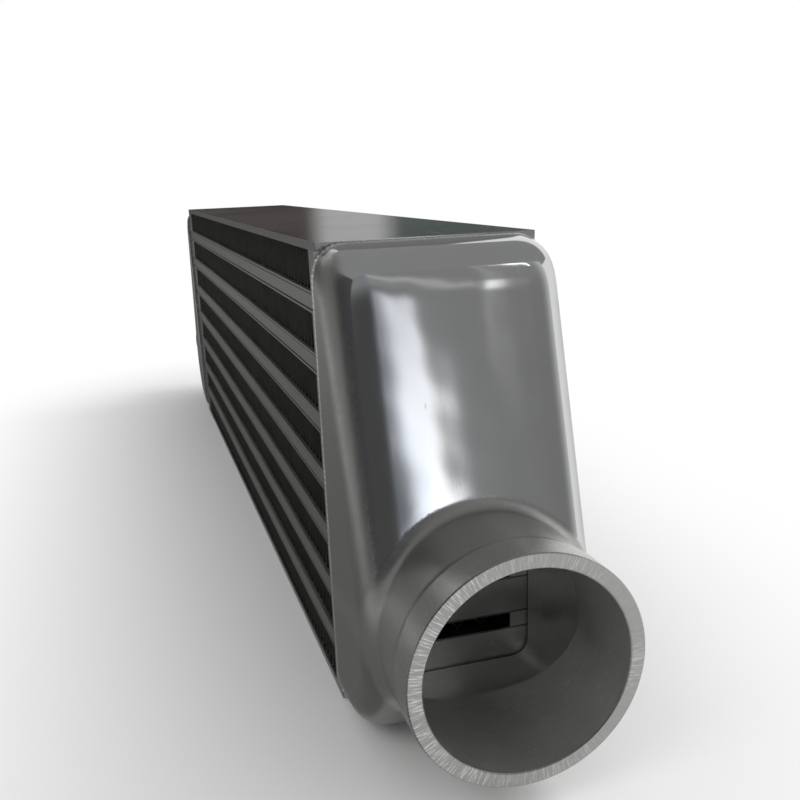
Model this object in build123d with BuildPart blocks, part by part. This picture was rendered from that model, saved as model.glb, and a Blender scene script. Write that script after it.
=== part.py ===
from build123d import *
import os
from math import cos, floor, radians, sqrt, tan

# Bar-and-plate intercooler: a brazed aluminium core with a cast end tank welded to each end.
# Hot charge air enters one spigot, crosses the core through the low charge rows along X and
# leaves by the other spigot. Cooling air crosses the tall air rows along Y.
#
# Frame: millimetres, +X along the core to the right-hand tank, +Y from the front face to the
# rear face, +Z up. The origin is at the centre of the core's underside.
# Rows are counted upwards from the bottom side plate.

# ---- core: driving dimensions --------------------------------------------------------------
core_length = 412.0             # end face to end face, without the tanks
core_depth = 65.0               # front face to rear face
charge_row_count = 7            # an air row lies above and below each charge row
charge_row_height = 5.0         # clear height between the two sheets of a charge row
air_row_height = 11.5           # clear height between the sheets round an air row
parting_sheet_thickness = 0.6
side_plate_thickness = 2.3      # top and bottom plates that close the stack

charge_bar_width = 8.0          # depth of the long bars along Y
end_bar_width = 9.0             # length of the short bars along X
bar_edge_bevel = 0.6            # eased outer edges of both kinds of bar

air_fin_leg_pitch = 6.0         # distance along X from one fin leg to the next
air_fin_thickness = 0.25
air_fin_recess = 1.0            # fins stop short of the core's front and rear faces
air_fin_end_gap = 0.5           # from the last crest to the end bar

turbulator_leg_pitch = 3.5      # distance along Y from one leg to the next
turbulator_thickness = 0.3
turbulator_recess = 5.0         # turbulators stop short of the core's end faces
turbulator_side_gap = 0.4       # from the last crest to the long bar

# ---- end tanks: driving dimensions ---------------------------------------------------------
tank_reach = 69.0               # core end face to the spigot's rim
tank_edge_inset = 0.5           # the tank's top and bottom stand in from the core's
tank_side_overhang = 1.5        # and its sides stand proud of the core's front and rear
tank_wall = 3.5
tank_edge_radius = 9.0          # round edge between the tank's sides and its crown
tank_cavity_bevel = 3.2         # the same edge inside
tank_top_draft = 2.0            # degrees that the top falls away from the core
tank_front_lean = 16.0          # degrees that the front leans out towards the bottom
tank_front_depth = 34.5         # core end face to the front, at the top of the spigot
tank_shoulder_radius = 16.0     # crown between the tank's top and its front
tank_toe_radius = 34.0          # sweep between the tank's front and its bottom

spigot_diameter = 63.5          # outside of the turned land, for a 2.5 inch hose
spigot_wall = 4.1
spigot_height = 39.5            # core underside to the spigot's axis
spigot_land_length = 11.0       # turned outside, from the rim
spigot_land_step = 0.4          # the land stands this far out of the cast skin behind it
spigot_root_depth = 3.6         # core end face to where the spigot starts in the casting's wall

# ---- weld beads: driving dimensions --------------------------------------------------------
weld_groove_width = 2.4         # chamfer on the tank's foot that the bead fills
weld_bead_width = 2.6           # from the core's end face along X
weld_bead_crown = 0.2           # bead crown above the tank's skin
weld_core_bevel = 1.9           # the bead draws in to the core's outline

# ---- worked-out sizes ----------------------------------------------------------------------
air_row_count = charge_row_count + 1
charge_row_stack = charge_row_height + 2 * parting_sheet_thickness
row_pitch = air_row_height + charge_row_stack
core_height = (
    air_row_count * air_row_height
    + charge_row_count * charge_row_stack
    + 2 * side_plate_thickness
)
core_end = core_length / 2
core_side = core_depth / 2
spigot_radius = spigot_diameter / 2
spigot_bore_radius = spigot_radius - spigot_wall
spigot_top = spigot_height + spigot_radius


def air_row_floor(row):
    """Height of the surface that air row number `row` stands on."""
    return side_plate_thickness + (row - 1) * row_pitch


def charge_row_floor(row):
    """Height of the lower sheet's upper face in charge row number `row`."""
    return air_row_floor(row) + air_row_height + parting_sheet_thickness


def corrugation(span, height, leg_pitch, thickness):
    """Outline of a folded strip that zigzags between two sheets, centred on its span."""
    leg_count = 2 * floor(span / leg_pitch / 2)
    run = span / leg_count
    # The strip's thickness measured straight up, so that the legs keep it square to the fold.
    a = run**2 - thickness**2
    b = height * thickness**2
    c = (thickness * run) ** 2 + (thickness * height) ** 2
    rise = (sqrt(b**2 + a * c) - b) / a
    lower_side = [
        (-span / 2 + fold * run, 0 if fold % 2 == 0 else height - rise)
        for fold in range(leg_count + 1)
    ]
    upper_side = [(along, up + rise) for along, up in reversed(lower_side)]
    return lower_side + upper_side


def save(piece, name):
    """Label a finished piece and write its STEP file."""
    piece.part.label = name
    export_step(piece.part, f"parts/{name}.step")


os.makedirs("parts", exist_ok=True)

# ---- side plates: flat sheets that close the stack -----------------------------------------
for plate_name, plate_floor in (
    ("bottom_side_plate", 0),
    ("top_side_plate", core_height - side_plate_thickness),
):
    with BuildPart() as side_plate:
        with BuildSketch(Plane.XY.offset(plate_floor)):
            Rectangle(core_length, core_depth)
        extrude(amount=side_plate_thickness)
    save(side_plate, plate_name)

# ---- charge rows: two sheets, two long bars and a turbulator between them -------------------
for row in range(1, charge_row_count + 1):
    row_floor = charge_row_floor(row)

    with BuildPart() as parting_sheets:
        for sheet_floor in (row_floor - parting_sheet_thickness, row_floor + charge_row_height):
            with BuildSketch(Plane.XY.offset(sheet_floor)):
                Rectangle(core_length, core_depth)
            extrude(amount=parting_sheet_thickness)
    save(parting_sheets, f"parting_sheets_{row}")

    for face_name, face_side in (("front", -1), ("rear", 1)):
        with BuildPart() as charge_bar:
            with BuildSketch(Plane.XY.offset(row_floor)):
                with Locations((0, face_side * (core_side - charge_bar_width / 2))):
                    Rectangle(core_length, charge_bar_width)
            extrude(amount=charge_row_height)
            outer_face = charge_bar.faces().sort_by(Axis.Y)[-1 if face_side > 0 else 0]
            chamfer(outer_face.edges().filter_by(Axis.X), length=bar_edge_bevel)
        save(charge_bar, f"charge_bar_{face_name}_{row}")

    with BuildPart() as turbulator:
        turbulator_span = core_depth - 2 * (charge_bar_width + turbulator_side_gap)
        with BuildSketch(Plane.YZ.offset(turbulator_recess - core_end)):
            with Locations((0, row_floor)):
                Polygon(
                    corrugation(
                        turbulator_span,
                        charge_row_height,
                        turbulator_leg_pitch,
                        turbulator_thickness,
                    ),
                    align=None,
                )
        extrude(amount=core_length - 2 * turbulator_recess)
    save(turbulator, f"turbulator_{row}")

# ---- air rows: a short bar at each end and a folded fin pack between them -------------------
for row in range(1, air_row_count + 1):
    row_floor = air_row_floor(row)

    for end_name, end_side in (("left", -1), ("right", 1)):
        with BuildPart() as end_bar:
            with BuildSketch(Plane.XY.offset(row_floor)):
                with Locations((end_side * (core_end - end_bar_width / 2), 0)):
                    Rectangle(end_bar_width, core_depth)
            extrude(amount=air_row_height)
            inner_face = end_bar.faces().sort_by(Axis.X)[0 if end_side > 0 else -1]
            chamfer(inner_face.edges().filter_by(Axis.Z), length=bar_edge_bevel)
        save(end_bar, f"end_bar_{end_name}_{row}")

    with BuildPart() as air_fin:
        fin_span = core_length - 2 * (end_bar_width + air_fin_end_gap)
        with BuildSketch(Plane.XZ):
            with Locations((0, row_floor)):
                Polygon(
                    corrugation(fin_span, air_row_height, air_fin_leg_pitch, air_fin_thickness),
                    align=None,
                )
        extrude(amount=core_side - air_fin_recess, both=True)
    save(air_fin, f"air_fin_{row}")


# ---- end tanks: cast wedge, shallow at the top, that sweeps out round the spigot ------------
def tank_form(inset):
    """The right-hand tank's form, with every surface set in from the outer one by `inset`."""
    top = core_height - tank_edge_inset - inset
    bottom = tank_edge_inset + inset
    side = core_side + tank_side_overhang - inset
    lean = tan(radians(tank_front_lean))
    front_shift = inset / cos(radians(tank_front_lean))
    front_at_top = core_end + tank_front_depth - front_shift - (top - spigot_top) * lean
    front_at_bottom = core_end + tank_front_depth - front_shift + (spigot_top - bottom) * lean
    top_fall = (front_at_top - core_end) * tan(radians(tank_top_draft))

    with BuildPart() as form:
        with BuildSketch(Plane.XZ):
            with BuildLine():
                Polyline(
                    (core_end, bottom),
                    (core_end, top),
                    (front_at_top, top - top_fall),
                    (front_at_bottom, bottom),
                    close=True,
                )
            make_face()
            fillet(vertices().sort_by(Axis.X)[-1], radius=tank_toe_radius - inset)
            fillet(vertices().sort_by(Axis.Y)[-2], radius=tank_shoulder_radius - inset)
        extrude(amount=side, both=True)
        side_walls = form.faces().sort_by(Axis.Y)
        rim_edges = (side_walls[0].edges() + side_walls[-1].edges()).filter_by(
            lambda edge: edge.center().X > core_end + tank_edge_inset
        )
        if inset:
            chamfer(rim_edges, length=tank_cavity_bevel)
        else:
            fillet(rim_edges, radius=tank_edge_radius)
    return form.part


tank_skin = tank_form(0)
tank_cavity = tank_form(tank_wall)

with BuildPart() as end_tank_right:
    add(tank_skin)
    foot_edges = end_tank_right.faces().sort_by(Axis.X)[0].edges()
    chamfer(foot_edges, length=weld_groove_width)
    for start, radius in (
        (spigot_root_depth, spigot_radius - spigot_land_step),
        (tank_reach - spigot_land_length, spigot_radius),
    ):
        with BuildSketch(Plane.YZ.offset(core_end + start)):
            with Locations((0, spigot_height)):
                Circle(radius)
        extrude(amount=tank_reach - start)
    add(tank_cavity, mode=Mode.SUBTRACT)
    with BuildSketch(Plane.YZ.offset(core_end + spigot_root_depth)):
        with Locations((0, spigot_height)):
            Circle(spigot_bore_radius)
    extrude(amount=tank_reach - spigot_root_depth, mode=Mode.SUBTRACT)
save(end_tank_right, "end_tank_right")

with BuildPart() as end_tank_left:
    mirror(end_tank_right.part, about=Plane.YZ)
save(end_tank_left, "end_tank_left")

# ---- weld beads: each fills the groove round a tank's foot -----------------------------------
with BuildPart() as weld_bead_right:
    with BuildSketch(Plane.YZ.offset(core_end)):
        with Locations((0, core_height / 2)):
            RectangleRounded(
                core_depth + 2 * (tank_side_overhang + weld_bead_crown),
                core_height - 2 * (tank_edge_inset - weld_bead_crown),
                tank_edge_radius,
            )
    extrude(amount=weld_bead_width)
    core_face_edges = weld_bead_right.faces().sort_by(Axis.X)[0].edges()
    chamfer(core_face_edges, length=weld_core_bevel)
    add(tank_cavity, mode=Mode.SUBTRACT)
    add(end_tank_right.part, mode=Mode.SUBTRACT)
save(weld_bead_right, "weld_bead_right")

with BuildPart() as weld_bead_left:
    mirror(weld_bead_right.part, about=Plane.YZ)
save(weld_bead_left, "weld_bead_left")
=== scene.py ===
from math import cos, floor, pi, radians, sin

import bmesh
import bpy
import numpy as np
import openvdb
from bpy.props import FloatProperty, FloatVectorProperty, IntProperty, PointerProperty
from bpy.types import Operator, Panel, PropertyGroup
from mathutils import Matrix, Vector


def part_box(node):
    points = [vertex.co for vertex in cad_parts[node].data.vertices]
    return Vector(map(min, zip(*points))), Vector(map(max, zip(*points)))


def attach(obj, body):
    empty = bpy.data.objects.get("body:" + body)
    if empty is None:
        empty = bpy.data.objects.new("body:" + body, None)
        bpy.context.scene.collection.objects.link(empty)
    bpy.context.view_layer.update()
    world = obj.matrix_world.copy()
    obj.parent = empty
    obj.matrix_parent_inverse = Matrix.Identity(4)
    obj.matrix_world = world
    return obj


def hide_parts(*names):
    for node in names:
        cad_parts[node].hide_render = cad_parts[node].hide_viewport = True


bl_info = {
    "name": "Bar-and-plate intercooler",
    "version": (1, 0, 0),
    "blender": (4, 5, 0),
    "location": "3D View > Sidebar > Intercooler",
    "description": "Cast tanks, weld beads, folded fins and finishes for the packed intercooler",
    "category": "Object",
}

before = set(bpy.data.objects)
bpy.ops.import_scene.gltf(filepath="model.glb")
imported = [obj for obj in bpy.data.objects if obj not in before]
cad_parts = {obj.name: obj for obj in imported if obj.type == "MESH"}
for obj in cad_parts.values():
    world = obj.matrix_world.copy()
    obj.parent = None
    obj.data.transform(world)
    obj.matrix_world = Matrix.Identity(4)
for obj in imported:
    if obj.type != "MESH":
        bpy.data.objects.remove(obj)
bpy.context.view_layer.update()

MM = 0.001
BODY = "root"

TANK_LOW, TANK_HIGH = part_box("end_tank_right")
CORE_END, CORE_SIDE, CORE_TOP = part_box("top_side_plate")[1]
FIN_ROWS = [name for name in sorted(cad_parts) if name.startswith("air_fin_")]

# Fixed details of the casting, in millimetres.
RIM_BEVEL = 0.3
LAND_RAMP = 1.8
BORE_BLEND = 1.2
LATTICE_MARGIN = 3.0
# The reach of a soft corner, as a multiple of the round corner's radius that it stands for.
SOFT_CROWN, SOFT_EDGE = 0.925, 1.42
# Steps that bring meshed points on to their form.
NEWTON_STEPS = 4

# The weld bead's section, in millimetres from the core's end and from the tank's skin.
BEAD_MIDDLE, BEAD_HALF_WIDTH = 1.35, 1.75
BEAD_SINK, BEAD_CROWN = 0.75, 0.12
BEAD_TUCK, TUCK_REACH = 1.08, 0.6
BEAD_CLEARANCE = 0.02
SECTION_POINTS, RIPPLE_STATIONS = 9, 6

# Points of a fin's round crest, in degrees.
CREST_ANGLES = (150, 110, 70, 30)

# What lamps and cards aim at: the middle of the right-hand tank's polished front.
TANK_FACE = Vector((0.235, 0.0, 0.10))


# ---- settings ---------------------------------------------------------------------------------
def length_setting(name, millimetres, description):
    """A length, written here in millimetres and kept in metres."""
    default = millimetres * MM
    return FloatProperty(name=name, description=description, default=default, unit="LENGTH")


def angle_setting(name, degrees, description):
    """An angle, written here in degrees and kept in radians."""
    default = radians(degrees)
    return FloatProperty(name=name, description=description, default=default, subtype="ANGLE")


def colour_setting(name, default, description):
    """A linear colour."""
    return FloatVectorProperty(
        name=name, description=description, default=default, size=3, subtype="COLOR"
    )


class TankSettings(PropertyGroup):
    """Sizes and finish of the two cast end tanks."""

    wall: length_setting("Wall", 3.5, "Thickness of the casting")
    front_depth: length_setting("Front depth", 34.5, "Core end to the front, at the spigot's top")
    front_height: length_setting("Spigot top", 71.25, "Underside of the core to the spigot's top")
    front_lean: angle_setting("Front lean", 16.0, "How far the front leans out towards the bottom")
    top_draft: angle_setting("Top draft", 2.0, "How far the top falls away from the core")
    edge_inset: length_setting("Edge inset", 0.5, "Top and bottom stand in from the core's")
    shoulder: length_setting("Shoulder radius", 16.0, "Crown between the top and the front")
    toe: length_setting("Toe radius", 34.0, "Sweep between the front and the bottom")
    edge: length_setting("Edge radius", 9.0, "Round edge between the sides and the crown")
    spigot_height: length_setting("Spigot height", 39.5, "Core's underside to the spigot's axis")
    spigot_radius: length_setting("Spigot radius", 31.75, "Outside of the turned land")
    spigot_bore: length_setting("Bore radius", 27.65, "Inside of the spigot")
    land_length: length_setting("Land length", 11.0, "Turned outside, from the rim")
    land_step: length_setting("Land step", 0.4, "Land above the cast skin behind it")
    root_blend: length_setting("Root blend", 3.0, "Fillet between the spigot and the tank")
    skin_cell: length_setting("Skin cell", 0.95, "Size of a mesh cell outside")
    cavity_cell: length_setting("Cavity cell", 1.15, "Size of a mesh cell inside")
    polish_wave: length_setting("Polishing wave", 0.02, "Height of the hand-polished waves")
    polished: colour_setting(
        "Polished colour", (0.62, 0.625, 0.63), "Polished aluminium on the tank's front"
    )
    satin: colour_setting(
        "Satin colour", (0.345, 0.342, 0.33), "Brushed aluminium on the sides and the spigot"
    )
    # The inside colour is partly the bored and cast metal and partly painted light: it is lighter
    # than the casting outside, to stand in for the light that comes in through the bore.
    inside: colour_setting(
        "Inside colour", (0.72, 0.72, 0.715), "Bored and cast aluminium inside the tank"
    )
    rim: colour_setting("Rim colour", (0.4, 0.395, 0.39), "Sawn rim, and the casting's flat foot")


class CoreSettings(PropertyGroup):
    """Fold of the air fins and finish of the brazed core."""

    leg_pitch: length_setting("Leg pitch", 2.5, "One fin leg to the next")
    crest_radius: length_setting("Crest radius", 0.8, "Round of a fold")
    strip_count: IntProperty(
        name="Offset strips", description="Lanced strips through the core's depth", default=6
    )
    fin_thickness: length_setting("Fin thickness", 0.2, "Folded strip")
    # The bars' colour is partly their dull brazed finish and partly painted shade: it is darker
    # than the metal, to stand in for the shade on the core's faces.
    bar_colour: colour_setting(
        "Bar colour", (0.27, 0.265, 0.25), "Extruded bars, dull from the brazing furnace"
    )
    plate_colour: colour_setting("Plate colour", (0.52, 0.51, 0.5), "Rolled side plates")
    sheet_colour: colour_setting(
        "Sheet colour", (0.3, 0.295, 0.28), "Cut edges of the clad parting sheets"
    )
    # The fins' colour is partly their dull strip and partly painted shade: it is darker than the
    # metal, to stand in for the shade deep in the air rows.
    fin_colour: colour_setting("Fin colour", (0.2, 0.195, 0.18), "Thin folded strip")


class WeldSettings(PropertyGroup):
    """The bead that joins a tank to the core."""

    ripple_pitch: length_setting("Ripple pitch", 1.7, "One ripple of the bead to the next")
    ripple_height: length_setting("Ripple height", 0.28, "Crest of a ripple over its trough")
    colour: colour_setting("Bead colour", (0.66, 0.66, 0.65), "Bright aluminium weld metal")


class StageSettings(PropertyGroup):
    """Camera, lamps and floor."""

    lens: FloatProperty(name="Lens", description="Focal length", default=41.359, unit="CAMERA")
    shift: FloatProperty(name="Shift", description="Vertical shift of the view", default=0.0875)
    floor_colour: colour_setting("Floor colour", (0.86, 0.86, 0.86), "Plain pale floor")
    ambient: FloatProperty(name="Ambient", description="Strength of the even light", default=0.6)
    key_power: FloatProperty(name="Key", description="Large soft lamp", default=7.0, unit="POWER")
    fill_power: FloatProperty(
        name="Fill", description="Soft lamp on the other side", default=2.5, unit="POWER"
    )


class Millimetres:
    """Reads a group of settings with its lengths in millimetres, in which the forms are worked."""

    def __init__(self, settings):
        self.settings = settings

    def __getattr__(self, name):
        value = getattr(self.settings, name)
        unit = self.settings.bl_rna.properties[name].unit
        return value / MM if unit == "LENGTH" else value


# ---- shader maths -----------------------------------------------------------------------------
class Value:
    """A socket that carries a number and takes part in Python expressions."""

    def __init__(self, nodes, socket):
        self.nodes = nodes
        self.socket = socket

    def _maths(self, operation, *operands):
        """A Math node on this value and others."""
        return self.nodes.number("ShaderNodeMath", {"operation": operation}, operands)

    def __add__(self, other):
        return self._maths("ADD", self, other)

    def __sub__(self, other):
        return self._maths("SUBTRACT", self, other)

    def __mul__(self, other):
        return self._maths("MULTIPLY", self, other)

    def __pow__(self, other):
        return self._maths("POWER", self, other)

    def __rsub__(self, other):
        return self._maths("SUBTRACT", other, self)

    def __rpow__(self, other):
        return self._maths("POWER", other, self)

    __radd__ = __add__
    __rmul__ = __mul__

    def absolute(self):
        return self._maths("ABSOLUTE", self)

    def root(self):
        return self._maths("SQRT", self)

    def most(self, other):
        return self._maths("MAXIMUM", self, other)

    def angle_to(self, other):
        return self._maths("ARCTAN2", self, other)

    def rise(self, start, end):
        """0 below `start`, 1 above `end`, and smooth between them."""
        settings = {"interpolation_type": "SMOOTHSTEP"}
        return self.nodes.number("ShaderNodeMapRange", settings, (self, start, end))

    def fall(self, start, end):
        """1 below `start`, 0 above `end`, and smooth between them."""
        return 1 - self.rise(start, end)

    def swing(self, amount):
        """Noise moved to lie evenly round 0, and scaled."""
        return (self - 0.5) * amount


class Nodes:
    """The node tree of a material or a world, emptied and built node by node."""

    def __init__(self, tree):
        self.tree = tree
        tree.nodes.clear()

    def node(self, kind, settings=None, inputs=()):
        """Adds a node: settings first, then sockets by name or in order. A colour is a triple."""
        made = self.tree.nodes.new(kind)
        for key, value in (settings or {}).items():
            if key == "stops":
                self._stops(made, value)
            else:
                setattr(made, key, value)
        pairs = inputs.items() if isinstance(inputs, dict) else enumerate(inputs)
        for key, value in pairs:
            value, socket = getattr(value, "socket", value), made.inputs[key]
            if isinstance(value, bpy.types.NodeSocket):
                self.tree.links.new(value, socket)
            else:
                socket.default_value = (*value, 1.0) if socket.type == "RGBA" else value
        return made

    def _stops(self, ramp, stops):
        while len(ramp.color_ramp.elements) < len(stops):
            ramp.color_ramp.elements.new(0.5)
        for element, (position, colour) in zip(ramp.color_ramp.elements, stops):
            element.position = position
            element.color = (*colour, 1.0)

    def number(self, kind, settings, inputs):
        """A node whose first output is a number."""
        return Value(self, self.node(kind, settings, inputs).outputs[0])

    def mix(self, factor, low, high, blend="MIX"):
        """A colour between two others, or the second laid over the first."""
        settings = {"data_type": "RGBA", "blend_type": blend}
        return self.node("ShaderNodeMix", settings, {0: factor, 6: low, 7: high}).outputs[2]

    def shade(self, colour, amount):
        """A colour made lighter or darker by a number."""
        grey = self.node("ShaderNodeCombineColor", inputs=(amount, amount, amount)).outputs[0]
        return self.mix(1.0, colour, grey, "MULTIPLY")

    def seen_directly(self):
        """1 for what the camera, a mirror or glass sees, 0 for light that falls on a surface."""
        path = self.node("ShaderNodeLightPath").outputs
        camera, glossy = Value(self, path["Is Camera Ray"]), Value(self, path["Is Glossy Ray"])
        return camera.most(glossy).most(path["Is Transmission Ray"])


class Finish(Nodes):
    """One procedural material, placed by the object's own coordinates."""

    def __init__(self, name):
        self.material = bpy.data.materials.new(name)
        self.material.use_nodes = True
        super().__init__(self.material.node_tree)
        self.place = self.node("ShaderNodeTexCoord").outputs["Object"]
        parts = self.node("ShaderNodeSeparateXYZ", inputs=(self.place,)).outputs
        self.x, self.y, self.z = (Value(self, part) for part in parts)

    def vector(self, x, y, z):
        return self.node("ShaderNodeCombineXYZ", inputs=(x, y, z)).outputs[0]

    def stretched(self, *scale):
        """The place on the object, stretched by a scale on each axis."""
        settings = {"operation": "MULTIPLY"}
        return self.node("ShaderNodeVectorMath", settings, (self.place, scale)).outputs[0]

    def noise(self, scale, detail=2.0, roughness=0.5, place=None):
        """Noise over the place on the object, or over another one."""
        inputs = {
            "Vector": place or self.place, "Scale": scale,
            "Detail": detail, "Roughness": roughness,
        }
        return Value(self, self.node("ShaderNodeTexNoise", inputs=inputs).outputs[0])

    def noise_at(self, x, y, z, detail=2.0, roughness=0.6):
        """Noise over a place that is worked out from other values."""
        return self.noise(1.0, detail, roughness, self.vector(x, y, z))

    def bump(self, height, distance, below=None):
        """A relief `distance` metres high, laid over another one where there is one."""
        inputs = {"Strength": 1.0, "Distance": distance, "Height": height}
        if below is not None:
            inputs["Normal"] = below
        return self.node("ShaderNodeBump", inputs=inputs).outputs[0]

    def metal(self, colour, roughness, normal, metallic=1.0):
        """The finished material. Less than 1 of metal lets a little even light in."""
        inputs = {
            "Base Color": colour, "Roughness": roughness,
            "Metallic": metallic, "Normal": normal,
        }
        return self.output(self.node("ShaderNodeBsdfPrincipled", inputs=inputs))

    def glow(self, colour):
        """A surface that mirrors nothing and shines with a colour or a pattern of them."""
        inputs = {
            "Base Color": (0.0, 0.0, 0.0), "Roughness": 1.0, "Specular IOR Level": 0.0,
            "Emission Color": colour, "Emission Strength": 1.0,
        }
        return self.output(self.node("ShaderNodeBsdfPrincipled", inputs=inputs))

    def output(self, shader):
        """Ends the tree with a shader."""
        self.node("ShaderNodeOutputMaterial", inputs=(shader.outputs[0],))
        return self.material


class SpigotFinish(Finish):
    """A finish that also knows its place round the spigot's axis."""

    def __init__(self, name, tank):
        super().__init__(name)
        self.lift = self.z - tank.spigot_height

    def out_from_core(self):
        return self.x.absolute() - TANK_LOW.x

    def around_axis(self):
        return self.lift.angle_to(self.y)

    def from_axis(self):
        return (self.y * self.y + self.lift * self.lift).root()


# ---- form of the cast end tank ----------------------------------------------------------------
class TankForm:
    """Distance to the surfaces of the right-hand tank, in millimetres from the core's end face."""

    def __init__(self, tank):
        self.tank = tank
        self.reach = (TANK_HIGH.x - TANK_LOW.x) / MM
        self.side = TANK_HIGH.y / MM
        self.top = CORE_TOP / MM - tank.edge_inset
        lean, draft = tank.front_lean, tank.top_draft
        self.front = np.array((cos(lean), sin(lean)))
        self.crown = np.array((sin(draft), cos(draft)))
        self.base = np.array((0.0, -1.0))

    def _corner(self, x, z, walls, offsets, radius):
        """Two walls of the profile with the corner between them rounded."""
        centre = np.linalg.solve(np.array(walls), np.array(offsets) - radius)
        away = np.stack((x - centre[0], z - centre[1]))
        along = np.tensordot(np.linalg.inv(np.array(walls).T), away, axes=1)
        flat = np.maximum(*(w[0] * x + w[1] * z - q for w, q in zip(walls, offsets)))
        arc = np.hypot(*away) - radius
        return np.where((along[0] > 0) & (along[1] > 0), arc, flat)

    def _soft_corner(self, first, second, reach):
        """Where two walls meet, a corner that starts gently, as hand polishing leaves it."""
        first, second = first + reach, second + reach
        outside = np.cbrt(np.maximum(first, 0) ** 3 + np.maximum(second, 0) ** 3)
        return np.minimum(np.maximum(first, second), 0) + outside - reach

    def _wedge(self, x, y, z, inset):
        """The body without its spigot, with every wall moved in by `inset`."""
        tank = self.tank
        front = self.front @ (tank.front_depth, tank.front_height) - inset
        crown = self.crown @ (0.0, self.top) - inset
        base = self.base @ (0.0, tank.edge_inset) - inset
        front_gap = self.front[0] * x + self.front[1] * z - front
        crown_gap = self.crown[0] * x + self.crown[1] * z - crown
        upper = self._soft_corner(front_gap, crown_gap, (tank.shoulder - inset) * SOFT_CROWN)
        lower = self._corner(x, z, (self.front, self.base), (front, base), tank.toe - inset)
        side = np.abs(y) - (self.side - inset)
        profile = np.where(z > self.top / 2, upper, lower)
        return self._soft_corner(profile, side, (tank.edge - inset) * SOFT_EDGE)

    def _round_union(self, first, second, radius):
        """Two forms joined with a fillet between them."""
        corner = np.hypot(np.maximum(radius - first, 0), np.maximum(radius - second, 0))
        return np.maximum(radius, np.minimum(first, second)) - corner

    def _hand_wave(self, x, y, z):
        """Long shallow waves that hand polishing leaves, between -2 and 2."""
        return (
            np.sin(0.21 * y + 0.09 * z + 0.6) * np.sin(0.07 * z - 0.05 * y + 1.1)
            + 0.6 * np.sin(0.33 * y - 0.06 * z + 2.0) * np.sin(0.11 * z + 0.4)
            + 0.35 * np.sin(0.5 * y + 0.27 * z) * np.sin(0.31 * z - 0.2 * y + x * 0.2)
        )

    def skin(self, points):
        """Outside: wedge, spigot, land and waves that die out at the foot, sides and spigot."""
        tank = self.tank
        x, y, z = points[..., 0], points[..., 1], points[..., 2]
        land = np.clip((x - (self.reach - tank.land_length)) / LAND_RAMP + 0.5, 0, 1)
        radius = tank.spigot_radius - tank.land_step * (1 - land * land * (3 - 2 * land))
        spigot = np.hypot(y, z - tank.spigot_height) - radius
        clear = np.clip(spigot / 6.0, 0, 1) * np.clip((x - 5.0) / 5.0, 0, 1)
        clear = clear * np.clip((self.side - np.abs(y)) / 4.0, 0, 1)
        wave = tank.polish_wave * self._hand_wave(x, y, z) * clear
        return self._round_union(self._wedge(x, y, z, 0.0) + wave, spigot, tank.root_blend)

    def hollow(self, points):
        """Inside: cavity and bore."""
        tank = self.tank
        x, y, z = points[..., 0], points[..., 1], points[..., 2]
        bore = np.hypot(y, z - tank.spigot_height) - tank.spigot_bore
        bore = np.maximum(bore, tank.wall - x)
        return self._round_union(self._wedge(x, y, z, tank.wall), bore, BORE_BLEND)


def slope(form, points, step=0.02):
    """Outward unit normals of a form at the points."""
    normals = np.empty(points.shape)
    for axis in range(3):
        shift = np.zeros(3)
        shift[axis] = step
        normals[..., axis] = form(points + shift) - form(points - shift)
    return normals / np.maximum(np.linalg.norm(normals, axis=-1, keepdims=True), 1e-9)


def surface(form, low, high, cell):
    """Even quads on a form's zero surface. Caps at the lattice's ends stay where they are."""
    axes = [np.arange(a, b + cell, cell) for a, b in zip(low, high)]
    lattice = np.stack(np.meshgrid(*axes, indexing="ij"), axis=-1)
    grid = openvdb.FloatGrid(cell * 4)
    grid.copyFromArray(form(lattice).astype(np.float32))
    points, quads = grid.convertToQuads(0.0)
    points = points.astype(float) * cell + np.array([a[0] for a in axes])
    for _ in range(NEWTON_STEPS):
        gap = form(points)
        gap = np.where(np.abs(gap) < cell, gap, 0.0)
        points = points - gap[:, None] * slope(form, points)
    return points, quads


def cut_loop(verts, plane_x):
    """The open loop of edge points at one plane across X, in order round the X axis."""
    found = [v for v in verts if v.is_boundary and abs(v.co.x - plane_x) < 1e-4]
    middle = sum((v.co for v in found), Vector()) / len(found)
    return sorted(found, key=lambda v: np.arctan2(v.co.z - middle.z, v.co.y - middle.y))


def shell_between(form, low, high, cell, ends):
    """A form's surface cut square at two planes across X, as points and faces."""
    points, quads = surface(form, low, high, cell)
    mesh = bpy.data.meshes.new("shell")
    mesh.from_pydata(points.tolist(), [], quads.tolist())
    shell = bmesh.new()
    shell.from_mesh(mesh)
    for plane_x, sign in zip(ends, (-1, 1)):
        parts = shell.verts[:] + shell.edges[:] + shell.faces[:]
        bmesh.ops.bisect_plane(
            shell, geom=parts, plane_co=(plane_x, 0, 0), plane_no=(sign, 0, 0),
            clear_outer=True, dist=1e-5,
        )
    bmesh.ops.remove_doubles(shell, verts=shell.verts, dist=1e-3)
    shell.to_mesh(mesh)
    shell.free()
    points = [tuple(v.co) for v in mesh.vertices]
    faces = [tuple(p.vertices) for p in mesh.polygons]
    bpy.data.meshes.remove(mesh)
    return points, faces


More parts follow.
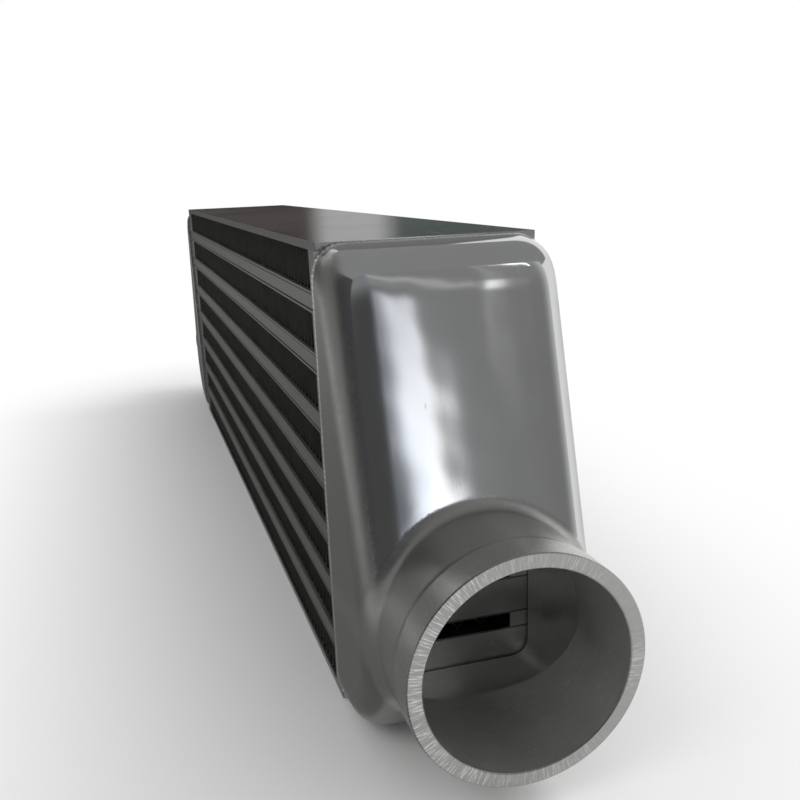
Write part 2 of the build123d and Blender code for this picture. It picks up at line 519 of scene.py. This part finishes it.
def zip_loops(solid, outer, inner, sign):
    """Triangles between two loops of points that are both in order round the X axis."""

    def turn(loop, index):
        middle = sum((v.co for v in loop), Vector()) / len(loop)
        here = loop[index % len(loop)].co
        angle = np.arctan2(here.z - middle.z, here.y - middle.y)
        return angle + 2 * pi * (index // len(loop))

    a = b = 0
    outer_turns = [turn(outer, i) for i in range(len(outer) + 1)]
    inner_turns = [turn(inner, i) for i in range(len(inner) + 1)]
    made = []
    while a < len(outer) or b < len(inner):
        here, there = outer[a % len(outer)], inner[b % len(inner)]
        if b == len(inner):
            step_outer = True
        else:
            step_outer = a < len(outer) and outer_turns[a + 1] <= inner_turns[b + 1]
        ahead = outer[(a + 1) % len(outer)] if step_outer else inner[(b + 1) % len(inner)]
        corners = (here, ahead, there) if sign > 0 else (there, ahead, here)
        made.append(solid.faces.new(corners))
        a, b = (a + 1, b) if step_outer else (a, b + 1)
    return made


def ring_from(solid, loop, plane_x, axis_height, growth):
    """A copy of a round loop at another plane, larger or smaller by `growth`."""
    ring = []
    for vert in loop:
        across = Vector((0, vert.co.y, vert.co.z - axis_height))
        across *= (across.length + growth) / across.length
        ring.append(solid.verts.new((plane_x, across.y, across.z + axis_height)))
    return ring


def strip_faces(solid, first, second):
    """Quads between two loops of the same count."""
    made = []
    for i in range(len(first)):
        j = (i + 1) % len(first)
        made.append(solid.faces.new((first[i], first[j], second[j], second[i])))
    return made


def joined_shells(skin, hollow):
    """Skin and hollow in one mesh under edit. The hollow comes second, with the next finish."""
    (skin_points, skin_faces), (hollow_points, hollow_faces) = skin, hollow
    count = len(skin_points)
    inner_faces = [tuple(i + count for i in face) for face in hollow_faces]
    holder = bpy.data.meshes.new("castings")
    holder.from_pydata(skin_points + hollow_points, [], skin_faces + inner_faces)
    solid = bmesh.new()
    solid.from_mesh(holder)
    bpy.data.meshes.remove(holder)
    solid.faces.ensure_lookup_table()
    for face in solid.faces[len(skin_faces):]:
        face.material_index = 1
    return solid


def close_ends(solid, skin_count, ends, tank, reach):
    """The flat foot, and the sawn rim with a small bevel at both its edges."""
    loops = []
    for verts in (solid.verts[:skin_count], solid.verts[skin_count:]):
        loops.append([cut_loop(verts, end) for end in ends])
    (foot_outer, rim_outer), (foot_inner, rim_inner) = loops
    made = zip_loops(solid, foot_outer, foot_inner, -1)
    outer_ring = ring_from(solid, rim_outer, reach, tank.spigot_height, -RIM_BEVEL)
    inner_ring = ring_from(solid, rim_inner, reach, tank.spigot_height, RIM_BEVEL)
    made += strip_faces(solid, rim_outer, outer_ring)
    made += strip_faces(solid, inner_ring, rim_inner)
    return made + zip_loops(solid, outer_ring, inner_ring, 1)


def tank_mesh(tank, sign):
    """One watertight casting: skin, hollow, square-cut rim and foot."""
    form = TankForm(tank)
    margin = LATTICE_MARGIN
    low = (-margin, -form.side - margin, -margin)
    high = (form.reach + margin, form.side + margin, form.top + margin)
    ends = (0.0, form.reach - RIM_BEVEL)
    skin = shell_between(form.skin, low, high, tank.skin_cell, ends)
    hollow = shell_between(form.hollow, low, high, tank.cavity_cell, ends)
    skin_count = len(skin[0])
    solid = joined_shells(skin, hollow)
    flat = close_ends(solid, skin_count, ends, tank, form.reach)
    for face in solid.faces:
        face.smooth = True
    for face in flat:
        face.smooth = False
        face.material_index = 2
    bmesh.ops.recalc_face_normals(solid, faces=solid.faces)
    origin = TANK_LOW.x
    for vert in solid.verts:
        vert.co = Vector(((origin + vert.co.x * MM) * sign, vert.co.y * MM, vert.co.z * MM))
    if sign < 0:
        bmesh.ops.reverse_faces(solid, faces=solid.faces)
    mesh = bpy.data.meshes.new("end_tank")
    solid.to_mesh(mesh)
    solid.free()
    smooth_like_form(mesh, form, origin, sign, skin_count)
    return mesh


def smooth_like_form(mesh, form, origin, sign, skin_count):
    """Shading normals taken from the form, so the polish mirrors cleanly."""
    count = len(mesh.vertices)
    points = np.empty(count * 3)
    mesh.vertices.foreach_get("co", points)
    points = points.reshape(-1, 3) / MM
    points[:, 0] = points[:, 0] * sign - origin / MM
    normals = np.zeros((count, 3))
    normals[:skin_count] = slope(form.skin, points[:skin_count])
    normals[skin_count:] = -slope(form.hollow, points[skin_count:])
    normals[:, 0] *= sign
    corner_verts = np.empty(len(mesh.loops), dtype=np.int32)
    mesh.loops.foreach_get("vertex_index", corner_verts)
    corners = normals[corner_verts]
    for face in mesh.polygons:
        if not face.use_smooth:
            corners[face.loop_start:face.loop_start + face.loop_total] = face.normal
    mesh.normals_split_custom_set(corners.tolist())


# ---- finishes ---------------------------------------------------------------------------------
def scratches(finish, scale, stretch, threshold):
    """Thin straight marks: 1 on a scratch, 0 off it."""
    marks = finish.noise(scale, 2.0, 0.6, finish.stretched(*stretch))
    return marks.rise(threshold, threshold + 0.06)


def polished_casting(tank):
    """Hand-polished front that turns satin at the sides, the foot and the spigot."""
    finish = SpigotFinish("polished casting", tank)
    drift = finish.noise(60.0, 3.0) * 0.004 - 0.002
    outward, around = finish.out_from_core(), finish.around_axis()
    side, spigot = TANK_HIGH.y, tank.spigot_radius
    # The satin reaches further in from the front face of the cooler than from the rear.
    lopsided = finish.y.absolute() - finish.y * 0.04
    by_side = (lopsided + drift * 0.4).rise(side - 0.0058, side - 0.0018)
    by_spigot = (finish.from_axis() + drift * 0.4).fall(spigot + 0.00155, spigot + 0.00305)
    by_base = (finish.z + drift * 3.0).fall(0.020, 0.034)
    by_foot = (outward + drift * 0.5).fall(0.0015, 0.0035)
    satin = by_side.most(by_spigot).most(by_base).most(by_foot)
    land_start = TANK_HIGH.x - TANK_LOW.x - tank.land_length
    land = (outward - land_start).rise(-0.0002, 0.0003)

    clouds = finish.noise(34.0, 4.0, 0.55)
    upright = finish.noise(900.0, 3.0, 0.6, finish.stretched(1.0, 1.0, 0.03))
    level = finish.noise(1100.0, 3.0, 0.6, finish.stretched(0.04, 0.04, 1.0))
    fine = scratches(finish, 420.0, (1.0, 1.0, 0.05), 0.7)
    cross = scratches(finish, 380.0, (0.06, 0.09, 1.0), 0.72)
    pits = scratches(finish, 700.0, (1.0, 1.0, 1.0), 0.74)
    turned = finish.noise_at(outward * 5200.0, around * 5.0, 0.0, 3.0, 0.65)
    nicks = finish.noise_at(outward * 1500.0, around * 34.0, 3.0).rise(0.56, 0.76) * land

    polish_tone = clouds * 0.16 + 0.92 - pits * 0.12
    satin_tone = 0.86 + clouds * 0.22 + upright.swing(0.25) + by_spigot * 0.3
    land_tone = 1.35 + turned.swing(0.5) + nicks * 0.55
    satin_tone = satin_tone * (1 - land) + land_tone * land
    bright = finish.shade(tank.polished, polish_tone)
    dull = finish.shade(tank.satin, satin_tone)
    polish_rough = 0.065 + clouds * 0.05 + fine * 0.08 + cross * 0.08 + pits * 0.1
    satin_rough = 0.34 + level.swing(0.2) + clouds * 0.08 - land * 0.06
    roughness = polish_rough * (1 - satin) + satin_rough * satin
    grain = (upright * 0.6 + level * 0.4) * (satin * 0.9 + 0.1) + turned * land * 1.2
    relief = finish.bump(grain, 0.00002)
    relief = finish.bump(finish.noise(38.0, 1.0, 0.4), 0.00009, relief)
    return finish.metal(finish.mix(satin, bright, dull), roughness, relief)


def cast_hollow(tank):
    """Dull cast cavity with a bored mouth: fine rings, and bright streaks that are partly drag
    marks and partly a painted highlight.
    """
    finish = SpigotFinish("bored hollow", tank)
    outward, around = finish.out_from_core(), finish.around_axis()
    mouth = outward.rise(0.0300, 0.0330)
    sand = finish.noise(420.0, 4.0, 0.6)
    clouds = finish.noise(45.0, 4.0, 0.6)
    rings = finish.noise_at(outward * 3600.0, around * 3.0, 0.0, 3.0)
    # Bright streaks round the mouth: partly drag marks, partly a painted highlight like light
    # caught along the turning.
    drags_and_glints = finish.noise_at(outward * 900.0, around * 9.0, 7.0).rise(0.6, 0.75) * mouth
    joint = outward.fall(0.0005, 0.0011)
    tone = 0.85 + clouds * 0.25 + sand.swing(0.2) * (1 - mouth)
    tone = tone + rings.swing(0.4) * mouth + drags_and_glints * 0.3 - joint * 0.75
    roughness = 0.36 - mouth * 0.02 + clouds.swing(0.14)
    relief = finish.bump(rings * mouth, 0.00012)
    relief = finish.bump(sand * (1 - mouth), 0.00005, relief)
    return finish.metal(finish.shade(tank.inside, tone), roughness, relief, 0.86)


def sawn_rim(tank):
    """Square-cut rim: pale, with short bright strokes across it, most of them on one side."""
    finish = SpigotFinish("sawn rim", tank)
    outward, around = finish.from_axis(), finish.around_axis()
    strokes = finish.noise_at(outward * 190.0, around * 75.0, 0.0, 3.0, 0.7)
    hairs = finish.noise_at(outward * 500.0, around * 260.0, 5.0)
    patches = finish.noise_at(around * 0.9, 2.0, 0.0, 1.0, 0.5).rise(0.42, 0.6)
    heavy = patches.most(finish.y.fall(-0.016, 0.004))
    cuts = strokes.rise(0.5, 0.62) * (heavy * 0.9 + 0.1)
    tone = 0.95 + hairs.swing(0.35) + cuts * 0.75
    roughness = 0.42 - cuts * 0.1 + hairs.swing(0.1)
    relief = finish.bump(strokes * 0.7 + hairs * 0.3, 0.00005)
    return finish.metal(finish.shade(tank.rim, tone), roughness, relief)


def weld_metal(colour):
    """Bright bead with smoky patches and a fine brushed grain."""
    finish = Finish("weld metal")
    soot = finish.noise(170.0, 3.0, 0.6)
    grain = finish.noise(1500.0, 2.0, 0.5)
    roughness = 0.28 + soot * 0.2 + grain.swing(0.1)
    relief = finish.bump(soot * 0.6 + grain * 0.4, 0.00006)
    return finish.metal(finish.shade(colour, 0.75 + soot * 0.5), roughness, relief)


def furnace_bar(name, colour, along_x):
    """Extruded bar: faint drawing lines, furnace stain and small knocks, with its ends ground."""
    finish = Finish(name)
    stretch = (0.02, 1.0, 1.0) if along_x else (1.0, 1.0, 0.05)
    lines = finish.noise(1400.0, 3.0, 0.6, finish.stretched(*stretch))
    stain = finish.noise(38.0, 4.0, 0.6)
    knocks = finish.noise(260.0, 2.0, 0.5).rise(0.68, 0.74)
    ground = finish.x.absolute().rise(CORE_END - 0.0006, CORE_END - 0.0003)
    tone = 0.78 + stain * 0.42 + lines.swing(0.3) + knocks * 0.3 + ground * 2.0
    roughness = 0.36 + stain * 0.14 + lines.swing(0.16)
    relief = finish.bump(lines * 0.7 - knocks * 0.6, 0.00003)
    return finish.metal(finish.shade(colour, tone), roughness, relief)


def rolled_plate(colour):
    """Side plate: rolling grain along the core, smears, a few scratches, and cut edges that are
    rougher and darker.
    """
    finish = Finish("rolled plate")
    grain = finish.noise(1600.0, 3.0, 0.55, finish.stretched(0.015, 1.0, 1.0))
    smears = finish.noise(16.0, 4.0, 0.6)
    long_marks = scratches(finish, 210.0, (0.03, 1.0, 1.0), 0.71)
    cross_marks = scratches(finish, 160.0, (1.0, 0.05, 1.0), 0.73)
    edge = finish.y.absolute().rise(CORE_SIDE - 0.0006, CORE_SIDE - 0.0001)
    tone = 0.86 + smears * 0.22 + grain.swing(0.14) + long_marks * 0.15 - edge * 0.55
    marks = long_marks + cross_marks
    roughness = 0.15 + smears * 0.1 + grain.swing(0.1) + marks * 0.12 + edge * 0.2
    relief = finish.bump(grain - long_marks * 0.7 - cross_marks * 0.5, 0.000012)
    return finish.metal(finish.shade(colour, tone), roughness, relief)


def clad_sheet(colour):
    """Parting sheet: its cut edge, with filler that has run along it."""
    finish = Finish("clad sheet")
    run = finish.noise(140.0, 3.0, 0.6, finish.stretched(0.25, 1.0, 1.0))
    grain = finish.noise(1200.0, 2.0, 0.5)
    relief = finish.bump(run * 0.8 + grain * 0.2, 0.00006)
    return finish.metal(finish.shade(colour, 0.7 + run * 0.6), 0.38 + run * 0.16, relief)


def folded_strip(name, colour):
    """Thin fin strip: dull, with rolling lines and patchy dust."""
    finish = Finish(name)
    dust = finish.noise(70.0, 4.0, 0.6)
    lines = finish.noise(1500.0, 2.0, 0.5, finish.stretched(1.0, 0.05, 1.0))
    tone = 0.7 + dust * 0.6 + lines.swing(0.25)
    roughness = 0.34 + dust * 0.2
    return finish.metal(finish.shade(colour, tone), roughness, finish.bump(lines, 0.00002))


# ---- helpers for pieces -----------------------------------------------------------------------
def place_piece(name, mesh, slot, *nodes):
    """Links a piece, rides it on the object's body and hides the nodes it stands for."""
    piece = bpy.data.objects.new(name, mesh)
    bpy.context.scene.collection.objects.link(piece)
    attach(piece, BODY)
    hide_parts(*nodes)
    return piece


def repaint(prefix, material):
    """Gives a finish to every carried-over node whose name starts with the prefix."""
    names = [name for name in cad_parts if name.startswith(prefix)]
    if not names:
        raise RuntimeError(f"no node's name starts with {prefix}")
    for name in names:
        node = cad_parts[name]
        node.data.materials.clear()
        node.data.materials.append(material)


# ---- end tanks --------------------------------------------------------------------------------
class INTERCOOLER_OT_end_tanks(Operator):
    """Builds both cast end tanks with their spigots"""

    bl_idname = "intercooler.end_tanks"
    bl_label = "End tanks"

    def execute(self, context):
        tank = context.scene.intercooler_tank
        finishes = (polished_casting(tank), cast_hollow(tank), sawn_rim(tank))
        for side, sign in (("right", 1), ("left", -1)):
            mesh = tank_mesh(Millimetres(tank), sign)
            for finish in finishes:
                mesh.materials.append(finish)
            place_piece(f"cast_tank_{side}", mesh, "cast_tank", f"end_tank_{side}")
        return {"FINISHED"}


# ---- weld beads -------------------------------------------------------------------------------
class INTERCOOLER_OT_weld_beads(Operator):
    """Lays the rippled bead round the foot of each tank"""

    bl_idname = "intercooler.weld_beads"
    bl_label = "Weld beads"

    def execute(self, context):
        weld, tank = context.scene.intercooler_weld, context.scene.intercooler_tank
        finish = weld_metal(weld.colour)
        for side, sign in (("right", 1), ("left", -1)):
            mesh = bead_mesh(Millimetres(weld), Millimetres(tank), sign)
            mesh.materials.append(finish)
            place_piece(f"weld_bead_{side}_run", mesh, "weld", f"weld_bead_{side}")
        return {"FINISHED"}


def outline_station(distance, half_width, low, high, radius):
    """Point and outward normal at a distance round a rounded rectangle across Y and Z."""
    arc = pi * radius / 2
    across, up = 2 * (half_width - radius), high - low - 2 * radius
    centres = (
        (half_width - radius, low + radius, -90.0),
        (half_width - radius, high - radius, 0.0),
        (radius - half_width, high - radius, 90.0),
        (radius - half_width, low + radius, 180.0),
    )
    for (cy, cz, start), straight in zip(centres, (up, across, up, across)):
        if distance < arc:
            turn = radians(start) + distance / radius
            return (cy + radius * cos(turn), cz + radius * sin(turn)), (cos(turn), sin(turn))
        distance -= arc
        if distance < straight:
            turn = radians(start + 90.0)
            normal = (cos(turn), sin(turn))
            along = (-sin(turn), cos(turn))
            point = (cy + radius * normal[0] + along[0] * distance,
                     cz + radius * normal[1] + along[1] * distance)
            return point, normal
        distance -= straight
    # Rounding can leave the last station a hair past the end of the loop.
    return outline_station(0.0, half_width, low, high, radius)


def bead_section(weld, phase, fullness):
    """Points across the bead: distance from the core's end and distance out of the skin."""
    wander = 0.25 * sin(phase * 0.37) + 0.18 * sin(phase * 0.83 + 1.0)
    crest = abs(sin(pi * phase)) ** 0.6
    crown = BEAD_CROWN + weld.ripple_height * crest * fullness
    points = []
    for j in range(SECTION_POINTS):
        angle = pi * j / (SECTION_POINTS - 1)
        lean = -0.55 * sin(angle) * (1 - crest)
        x = BEAD_MIDDLE + wander * 0.4 - BEAD_HALF_WIDTH * cos(angle) + lean * 0.5
        tuck = BEAD_TUCK * max(0.0, (TUCK_REACH - x) / TUCK_REACH)
        out = (BEAD_SINK + crown) * sin(angle) - BEAD_SINK - tuck
        points.append((max(x, BEAD_CLEARANCE), out))
    return points


def bead_mesh(weld, tank, sign):
    """A closed bead: a half-round section swept round the foot, with a ripple along it."""
    half_width = TANK_HIGH.y / MM
    low, high, radius = tank.edge_inset, CORE_TOP / MM - tank.edge_inset, tank.edge
    perimeter = 2 * pi * radius + 4 * (half_width - radius) + 2 * (high - low - 2 * radius)
    ripples = round(perimeter / weld.ripple_pitch)
    stations = ripples * RIPPLE_STATIONS
    foot = TANK_LOW.x / MM
    points, faces = [], []
    for i in range(stations):
        phase = i / stations * ripples
        (y, z), normal = outline_station(i / stations * perimeter, half_width, low, high, radius)
        on_corner = abs(normal[0] * normal[1]) * 2
        fullness = max(on_corner, 0.25 + 0.2 * sin(phase * 0.11 + 2.0))
        for x, out in bead_section(weld, phase, fullness):
            place = ((foot + x) * sign, y + normal[0] * out, z + normal[1] * out)
            points.append(tuple(c * MM for c in place))
        here, following = i * SECTION_POINTS, (i + 1) % stations * SECTION_POINTS
        for j in range(SECTION_POINTS):
            k = (j + 1) % SECTION_POINTS
            corners = (here + j, following + j, following + k, here + k)
            faces.append(corners if sign < 0 else corners[::-1])
    mesh = bpy.data.meshes.new("weld_bead")
    mesh.from_pydata(points, [], faces)
    mesh.polygons.foreach_set("use_smooth", [True] * len(faces))
    bead = bmesh.new()
    bead.from_mesh(mesh)
    bmesh.ops.recalc_face_normals(bead, faces=bead.faces)
    bead.to_mesh(mesh)
    bead.free()
    return mesh


# ---- air fins ---------------------------------------------------------------------------------
class INTERCOOLER_OT_air_fins(Operator):
    """Folds the lanced fin pack of each air row"""

    bl_idname = "intercooler.air_fins"
    bl_label = "Air fins"

    def execute(self, context):
        core = context.scene.intercooler_core
        finish = folded_strip("folded fin", core.fin_colour)
        for name in FIN_ROWS:
            low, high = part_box(name)
            mesh = fin_mesh(core, low, high)
            mesh.materials.append(finish)
            place_piece(f"{name}_pack", mesh, "air_fin", name)
        return {"FINISHED"}


def fold_line(core, low, high, offset):
    """Points along a folded strip in X and Z, with round crests that touch both sheets."""
    pitch, bend = core.leg_pitch, core.crest_radius
    half = core.fin_thickness / 2
    bottom, top = low.z + half + bend, high.z - half - bend
    count = floor((high.x - low.x - 2 * bend) / pitch) - 1
    start = (low.x + high.x - count * pitch) / 2 + offset
    line = []
    for i in range(count + 1):
        centre_z, sign = (bottom, -1) if i % 2 else (top, 1)
        for angle in CREST_ANGLES:
            x = start + i * pitch + bend * cos(radians(angle))
            line.append((x, centre_z + sign * bend * sin(radians(angle))))
    return line


def fin_mesh(core, low, high):
    """One pack: strips side by side through the depth, every other one shifted along."""
    half = core.fin_thickness / 2
    depth = (high.y - low.y) / core.strip_count
    points, faces = [], []
    for strip in range(core.strip_count):
        offset = (0.25 if strip % 2 else -0.25) * core.leg_pitch
        line = np.array(fold_line(core, low, high, offset))
        along = np.gradient(line, axis=0)
        along /= np.linalg.norm(along, axis=1, keepdims=True)
        across = np.stack((-along[:, 1], along[:, 0]), axis=1) * half
        near = low.y + strip * depth
        first, count = len(points), len(line)
        for side in (1, -1):
            for y in (near, near + depth):
                points += [(x, y, z) for x, z in line + side * across]
        # The strip's four long edges: upper near and far, then lower near and far.
        a, b, c, d = (first + k * count for k in range(4))
        for i in range(count - 1):
            faces += [
                (a + i, a + i + 1, b + i + 1, b + i),
                (c + i + 1, c + i, d + i, d + i + 1),
                (a + i + 1, a + i, c + i, c + i + 1),
                (b + i, b + i + 1, d + i + 1, d + i),
            ]
        last = count - 1
        faces += [(a, b, d, c), (b + last, a + last, c + last, d + last)]
    mesh = bpy.data.meshes.new("fin_pack")
    mesh.from_pydata(points, [], faces)
    return mesh


# ---- core -------------------------------------------------------------------------------------
class INTERCOOLER_OT_core_finishes(Operator):
    """Gives the plates, bars, sheets and turbulators of the core their finishes"""

    bl_idname = "intercooler.core_finishes"
    bl_label = "Core finishes"

    def execute(self, context):
        core = context.scene.intercooler_core
        plate = rolled_plate(core.plate_colour)
        repaint("top_side_plate", plate)
        repaint("bottom_side_plate", plate)
        repaint("charge_bar", furnace_bar("charge bar", core.bar_colour, True))
        repaint("end_bar", furnace_bar("end bar", core.bar_colour, False))
        repaint("parting_sheets", clad_sheet(core.sheet_colour))
        repaint("turbulator", folded_strip("turbulator strip", core.fin_colour))
        return {"FINISHED"}


# ---- stage ------------------------------------------------------------------------------------
class INTERCOOLER_OT_stage(Operator):
    """Sets the camera, the floor, the lamps and the cards that the polish mirrors"""

    bl_idname = "intercooler.stage"
    bl_label = "Stage"

    def execute(self, context):
        stage = context.scene.intercooler_stage
        context.scene.view_settings.view_transform = "Standard"
        set_camera(context.scene, stage)
        set_world(context.scene, stage)
        set_floor(stage)
        set_lamps(stage)
        set_cards()
        return {"FINISHED"}


def set_camera(scene, stage):
    """A camera low in front of the right-hand spigot, rolled a little."""
    data = bpy.data.cameras.new("camera")
    data.lens = stage.lens
    data.shift_y = stage.shift
    data.clip_start = 0.01
    camera = bpy.data.objects.new("camera", data)
    camera.location = (0.4564, -0.0841, 0.1563)
    camera.rotation_euler = (radians(72.25), radians(2.20), radians(72.99))
    scene.collection.objects.link(camera)
    scene.camera = camera


def set_world(scene, stage):
    """White where it is seen, and a weaker even light on what it falls on."""
    world = bpy.data.worlds.new("studio")
    world.use_nodes = True
    nodes = Nodes(world.node_tree)
    white, even = (
        nodes.node("ShaderNodeBackground", inputs=((1.0, 1.0, 1.0), strength)).outputs[0]
        for strength in (1.0, stage.ambient)
    )
    mixed = nodes.node("ShaderNodeMixShader", inputs=(nodes.seen_directly(), even, white))
    nodes.node("ShaderNodeOutputWorld", inputs=(mixed.outputs[0],))
    scene.world = world


def flat_sheet(name, width, height, material):
    """A level rectangle round the origin, linked to the scene."""
    w, h = width / 2, height / 2
    mesh = bpy.data.meshes.new(name)
    mesh.from_pydata([(-w, -h, 0), (w, -h, 0), (w, h, 0), (-w, h, 0)], [], [(0, 1, 2, 3)])
    mesh.materials.append(material)
    sheet = bpy.data.objects.new(name, mesh)
    bpy.context.scene.collection.objects.link(sheet)
    return sheet


def set_floor(stage):
    """A plain pale sheet that fades to the background's white away from the object."""
    finish = Finish("pale floor")
    beyond = (finish.x.absolute() - 0.22).most(0.0)
    far = (beyond * beyond + finish.y * finish.y).root().rise(0.02, 0.22)
    colour = finish.shade(stage.floor_colour, 0.99 + finish.noise(700.0, 2.0, 0.5) * 0.02)
    inputs = {"Base Color": colour, "Roughness": 0.7}
    paper = finish.node("ShaderNodeBsdfPrincipled", inputs=inputs)
    white = finish.node("ShaderNodeEmission", inputs=((1.0, 1.0, 1.0), 1.0))
    factor = far * finish.seen_directly()
    mixed = finish.node("ShaderNodeMixShader", inputs=(factor, paper.outputs[0], white.outputs[0]))
    sheet = flat_sheet("floor", 12.0, 12.0, finish.output(mixed))
    sheet.location.z = -0.0003


def aim(piece, place, target):
    """Puts a lamp or card at a place with its face towards a target."""
    direction = Vector(target) - Vector(place)
    piece.location = place
    piece.rotation_euler = direction.to_track_quat("-Z", "Y").to_euler()


def from_target(bearing, elevation, distance, target):
    """A place at a bearing from +X and an elevation, in degrees, as seen from the target."""
    a, e = radians(bearing), radians(elevation)
    way = Vector((cos(a) * cos(e), sin(a) * cos(e), sin(e)))
    return Vector(target) + way * distance


def set_lamps(stage):
    """Two large soft lamps. The polish doesn't mirror them: it mirrors the cards."""
    lamps = (
        ("key", 104.0, 38.0, 1.1, 0.5, stage.key_power),
        ("fill", -62.0, 44.0, 1.3, 0.6, stage.fill_power),
    )
    for name, bearing, elevation, distance, size, power in lamps:
        data = bpy.data.lights.new(name, "AREA")
        data.size = size
        data.energy = power
        lamp = bpy.data.objects.new(name, data)
        lamp.visible_camera = False
        lamp.visible_glossy = False
        bpy.context.scene.collection.objects.link(lamp)
        aim(lamp, from_target(bearing, elevation, distance, TANK_FACE), TANK_FACE)


def card(name, place, target, width, height, colour):
    """A studio card that only a mirror sees. The colour may come from a function of its place."""
    finish = Finish(name)
    glow = finish.glow(colour(finish) if callable(colour) else colour)
    sheet = flat_sheet(name, width, height, glow)
    for ray in ("camera", "diffuse", "transmission", "volume_scatter", "shadow"):
        setattr(sheet, f"visible_{ray}", False)
    aim(sheet, place, target)


def front_board(finish):
    """Dark at the left, a tall bright strip, then grey with a thin leaning line."""
    across, up = finish.x, finish.y + 0.2
    strip = (across - up * 0.08).rise(-0.105, -0.015) ** 2.3
    strip = strip * (across + up * 0.06).fall(-0.031, -0.021)
    strip = strip * (1.05 - up.rise(0.07, 0.30)) * 1.75
    grey = 0.19 - across.rise(0.0, 0.12) * 0.03 + up.rise(-0.1, 0.3) * 0.05
    grey = across.rise(-0.06, 0.0) * grey
    leaning = across - up.most(0.0) * 0.24
    line = leaning.rise(0.054, 0.062) * leaning.fall(0.070, 0.082)
    glint = up.rise(0.02, 0.08) * up.fall(0.14, 0.22)
    line = line * (up.rise(-0.2, 0.0) * 0.2 + glint * 1.5)
    crown = across.rise(0.02, 0.035) * across.fall(0.055, 0.07) * up.rise(0.06, 0.14) * 0.25
    fade = across.fall(-0.06, 0.0) * up.rise(0.0, 0.45) * 0.2
    level = grey + strip + line + crown + fade + across.rise(0.3, 0.9) * 0.4 + 0.08
    cool = across.rise(-0.14, -0.09) * across.fall(-0.045, -0.02)
    return finish.shade(finish.mix(cool, (1.0, 1.0, 1.0), (0.93, 0.98, 1.07)), level)


def behind_board(finish):
    """What the top plate mirrors at a low angle: brown, then pale, then green-grey."""
    stops = (
        (0.0, (0.03, 0.05, 0.048)), (0.42, (0.06, 0.085, 0.08)),
        (0.48, (0.55, 0.55, 0.55)), (0.61, (0.55, 0.55, 0.55)),
        (0.66, (0.022, 0.010, 0.008)), (1.0, (0.018, 0.009, 0.007)),
    )
    bands = finish.node("ShaderNodeValToRGB", {"stops": stops}, (finish.x + 0.5,)).outputs[0]
    return finish.mix(finish.y.rise(-0.9, -0.5), bands, (0.2, 0.2, 0.2))


def set_cards():
    """Boards, flags, small bright cards and a painted floor shadow round the tank, for its polish
    to mirror.
    """
    ahead = Vector((cos(radians(20)), sin(radians(20)), 0.0))
    aside = Vector((-ahead.y, ahead.x, 0.0))
    # Name, metres aside, above the floor and ahead, width, height, colour.
    square_on = (
        ("front_board", 0.0, 0.64, 0.75, 1.80, 1.28, front_board),
        ("spark_high", 0.315, 1.10, 0.74, 0.02, 0.24, (5.0, 5.0, 5.0)),
    )
    for name, shift, level, distance, width, height, colour in square_on:
        place = TANK_FACE + ahead * distance + aside * shift
        place.z = level
        card(name, place, place - ahead, width, height, colour)
    # Name, bearing, elevation, distance, width, height, colour.
    bearings = (
        ("flag_left", -46.0, 22.0, 1.0, 1.05, 1.5, (0.08, 0.08, 0.085)),
        ("flag_front", -102.0, 20.0, 1.1, 1.8, 1.3, (0.32, 0.32, 0.32)),
        ("board_top", 60.0, 84.0, 1.25, 2.7, 2.6, (0.31, 0.31, 0.31)),
        ("flag_behind", -158.0, 8.0, 1.7, 1.5, 0.8, (0.14, 0.14, 0.14)),
    )
    for name, bearing, elevation, distance, width, height, colour in bearings:
        place = from_target(bearing, elevation, distance, TANK_FACE)
        card(name, place, TANK_FACE, width, height, colour)
    place = Vector((-1.9, 0.55, 1.2))
    card("behind_board", place, place + Vector((2.0, -0.55, 0.0)), 1.0, 2.4, behind_board)
    # A dark card on the floor beside the object, seen only in its mirrors: a painted shadow of the
    # floor there.
    place = Vector((-0.75, -0.2, 0.0))
    card("floor_flag", place, place - Vector((0.0, 0.0, 1.0)), 2.7, 0.33, (0.2, 0.2, 0.2))


# ---- panel and registration -------------------------------------------------------------------
class VIEW3D_PT_intercooler(Panel):
    """Lists the intercooler's operators"""

    bl_label = "Intercooler"
    bl_idname = "VIEW3D_PT_intercooler"
    bl_space_type = "VIEW_3D"
    bl_region_type = "UI"
    bl_category = "Intercooler"

    def draw(self, context):
        for operator in OPERATORS:
            self.layout.operator(operator.bl_idname)


OPERATORS = (
    INTERCOOLER_OT_end_tanks,
    INTERCOOLER_OT_weld_beads,
    INTERCOOLER_OT_air_fins,
    INTERCOOLER_OT_core_finishes,
    INTERCOOLER_OT_stage,
)
SETTINGS = {
    "intercooler_tank": TankSettings,
    "intercooler_core": CoreSettings,
    "intercooler_weld": WeldSettings,
    "intercooler_stage": StageSettings,
}
CLASSES = (*SETTINGS.values(), *OPERATORS, VIEW3D_PT_intercooler)


def register():
    for cls in CLASSES:
        bpy.utils.register_class(cls)
    for name, group in SETTINGS.items():
        setattr(bpy.types.Scene, name, PointerProperty(type=group))


def unregister():
    for name in SETTINGS:
        delattr(bpy.types.Scene, name)
    for cls in reversed(CLASSES):
        bpy.utils.unregister_class(cls)


def main():
    """Builds every piece and the stage."""
    register()
    bpy.ops.intercooler.end_tanks()
    bpy.ops.intercooler.weld_beads()
    bpy.ops.intercooler.air_fins()
    bpy.ops.intercooler.core_finishes()
    bpy.ops.intercooler.stage()


if __name__ == "__main__":
    main()
